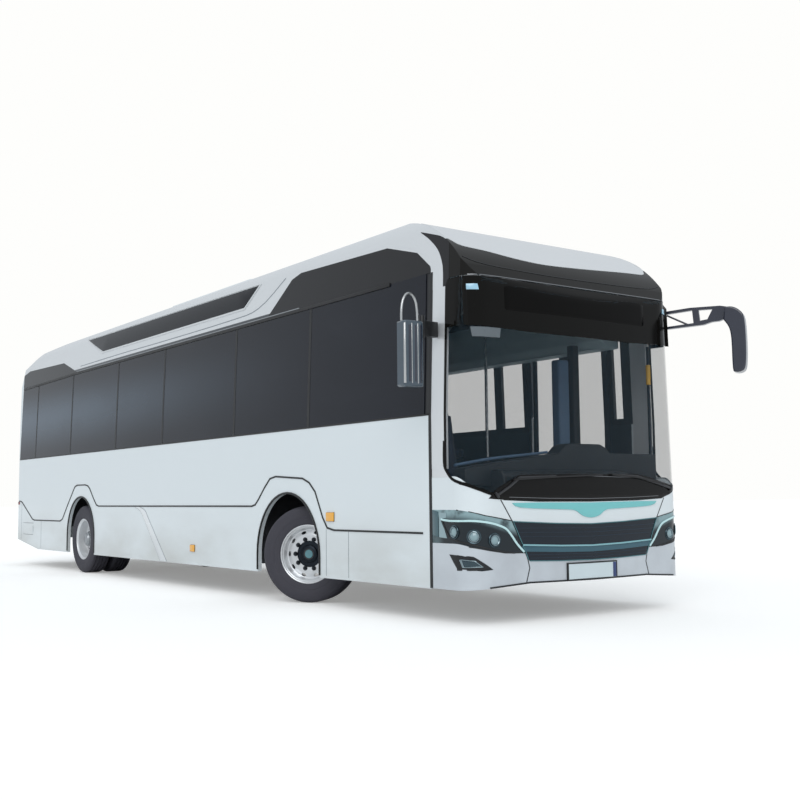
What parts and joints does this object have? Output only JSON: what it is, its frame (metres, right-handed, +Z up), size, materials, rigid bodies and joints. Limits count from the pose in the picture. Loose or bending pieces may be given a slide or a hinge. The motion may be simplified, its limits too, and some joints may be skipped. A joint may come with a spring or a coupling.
{
  "type": "electric coach",
  "caption": "Single-deck electric coach with a bow front, silver hoop round the screen, low skirts, tinted side glass, twin-leaf front door, hanging mirrors and turned front wheels.",
  "frame": {"origin": "on the ground under the middle of the whole length, mirrors included, on the body's centreline", "axes": "+Z up, the front looks along -Y, the coach's own right side is at -X"},
  "size_m": [3.53, 12.46, 3.64],
  "materials": {
    "body_white": "satin white-grey paint",
    "bumper_white": "painted plastic",
    "hoop_silver": "silver metallic paint",
    "black_gloss": "gloss black",
    "mask_black": "gloss black-brown",
    "grille_navy": "gloss dark navy",
    "frame_black": "black band behind the glass",
    "glass_dark": "grey tinted glass",
    "screen_glass": "clear laminated glass",
    "lamp_clear": "clear lens over a bright reflector",
    "lamp_red": "red lens",
    "plate_white": "blank reflective white",
    "display_black": "blank black panel",
    "hardware_black": "matt black",
    "mirror_black": "black plastic",
    "tyre_black": "worn road rubber",
    "rim_silver": "silver paint",
    "frame_dark": "dark grey primer",
    "painted_grey": "grey enamel",
    "floor_grey": "grey studded covering",
    "cab_trim": "blue-grey trim",
    "seat_fabric": "dark blue woven cloth",
    "rail_steel": "brushed",
    "wheel_black": "black grip"
  },
  "bodies": {
    "coach_body": {"battery_pack": "painted_grey", "cant_panels": "black_gloss", "chassis_frame": "frame_dark", "dashboard": "cab_trim", "destination_display": "display_black", "door_hinges": "hardware_black", "drive_motor": "painted_grey", "driver_seat": "seat_fabric", "entrance_steps": "floor_grey", "floor_deck": "floor_grey", "fog_lamps": "lamp_clear", "front_axle": "frame_dark", "front_band": "body_white", "front_bumper": "bumper_white", "front_cap": "mask_black", "front_hoop": "hoop_silver", "grille_band": "grille_navy", "handrails": "rail_steel", "headlamps": "lamp_clear", "mirror_left": "mirror_black", "mirror_right": "mirror_black", "number_plate": "plate_white", "passenger_seats": "seat_fabric", "rear_axle": "frame_dark", "rear_bumper": "body_white", "rear_lamps": "lamp_red", "rear_panel": "body_white", "rear_window": "glass_dark", "roof": "body_white", "roof_fairings": "hoop_silver", "roof_unit": "body_white", "side_glass": "glass_dark", "side_panel_left": "body_white", "side_panel_right": "body_white", "skirt_left": "body_white", "skirt_right": "body_white", "steering_column": "cab_trim", "steering_wheel": "wheel_black", "wheel_housings": "frame_dark", "window_frames": "frame_black", "windshield": "screen_glass", "wipers": "hardware_black"},
    "knuckle_right": {"knuckle_right": "frame_dark"},
    "knuckle_left": {"knuckle_left": "frame_dark"},
    "wheel_front_right": {"tyre_front_right": "tyre_black", "rim_front_right": "rim_silver"},
    "wheel_front_left": {"tyre_front_left": "tyre_black", "rim_front_left": "rim_silver"},
    "wheel_rear_right": {"tyres_rear_right": "tyre_black", "rims_rear_right": "rim_silver"},
    "wheel_rear_left": {"tyres_rear_left": "tyre_black", "rims_rear_left": "rim_silver"},
    "door_front": {"door_front_leaf": "body_white", "door_front_glass": "glass_dark"},
    "door_rear": {"door_rear_leaf": "body_white", "door_rear_glass": "glass_dark"},
    "motor_lid": {"motor_lid": "body_white"},
    "charge_flap": {"charge_flap": "body_white"},
    "roof_hatch_front": {"roof_hatch_front": "body_white"},
    "roof_hatch_rear": {"roof_hatch_rear": "body_white"}
  },
  "joints": [
    {"name": "steer_right", "type": "hinge", "parent": "coach_body", "child": "knuckle_right", "pos_m": [-0.8975, -2.92, 0.482], "axis": [0, 0, 1], "range_deg": [-83, 7]},
    {"name": "steer_left", "type": "hinge", "parent": "coach_body", "child": "knuckle_left", "pos_m": [0.8975, -2.92, 0.482], "axis": [0, 0, 1], "range_deg": [-83, 7]},
    {"name": "spin_front_right", "type": "hinge", "parent": "knuckle_right", "child": "wheel_front_right", "pos_m": [-1.06298, -3.04929, 0.482], "axis": [0.788, 0.6157, 0], "continuous": true},
    {"name": "spin_front_left", "type": "hinge", "parent": "knuckle_left", "child": "wheel_front_left", "pos_m": [1.06298, -2.79071, 0.482], "axis": [0.788, 0.6157, 0], "continuous": true},
    {"name": "spin_rear_right", "type": "hinge", "parent": "coach_body", "child": "wheel_rear_right", "pos_m": [-1.1075, 3.07, 0.482], "axis": [1, 0, 0], "continuous": true},
    {"name": "spin_rear_left", "type": "hinge", "parent": "coach_body", "child": "wheel_rear_left", "pos_m": [1.1075, 3.07, 0.482], "axis": [1, 0, 0], "continuous": true},
    {"name": "door_front_swing", "type": "hinge", "parent": "coach_body", "child": "door_front", "pos_m": [1.289, -4.9955, 1.2], "axis": [0, 0, 1], "range_deg": [-95, 0]},
    {"name": "door_rear_swing", "type": "hinge", "parent": "coach_body", "child": "door_rear", "pos_m": [1.289, -3.8045, 1.2], "axis": [0, 0, 1], "range_deg": [0, 95]},
    {"name": "motor_lid_lift", "type": "hinge", "parent": "coach_body", "child": "motor_lid", "pos_m": [0, 6.214, 1.696], "axis": [1, 0, 0], "range_deg": [0, 75]},
    {"name": "charge_flap_swing", "type": "hinge", "parent": "coach_body", "child": "charge_flap", "pos_m": [-1.282, 5.263, 0.595], "axis": [0, 0, 1], "range_deg": [0, 100]},
    {"name": "hatch_front_tilt", "type": "hinge", "parent": "coach_body", "child": "roof_hatch_front", "pos_m": [0, -2.994, 3.5543], "axis": [1, 0, 0], "range_deg": [0, 40]},
    {"name": "hatch_rear_tilt", "type": "hinge", "parent": "coach_body", "child": "roof_hatch_rear", "pos_m": [0, 2.206, 3.5543], "axis": [1, 0, 0], "range_deg": [0, 40]}
  ],
  "couplings": [
    {"joint": "steer_left", "follows": "steer_right", "ratio": 1}
  ]
}
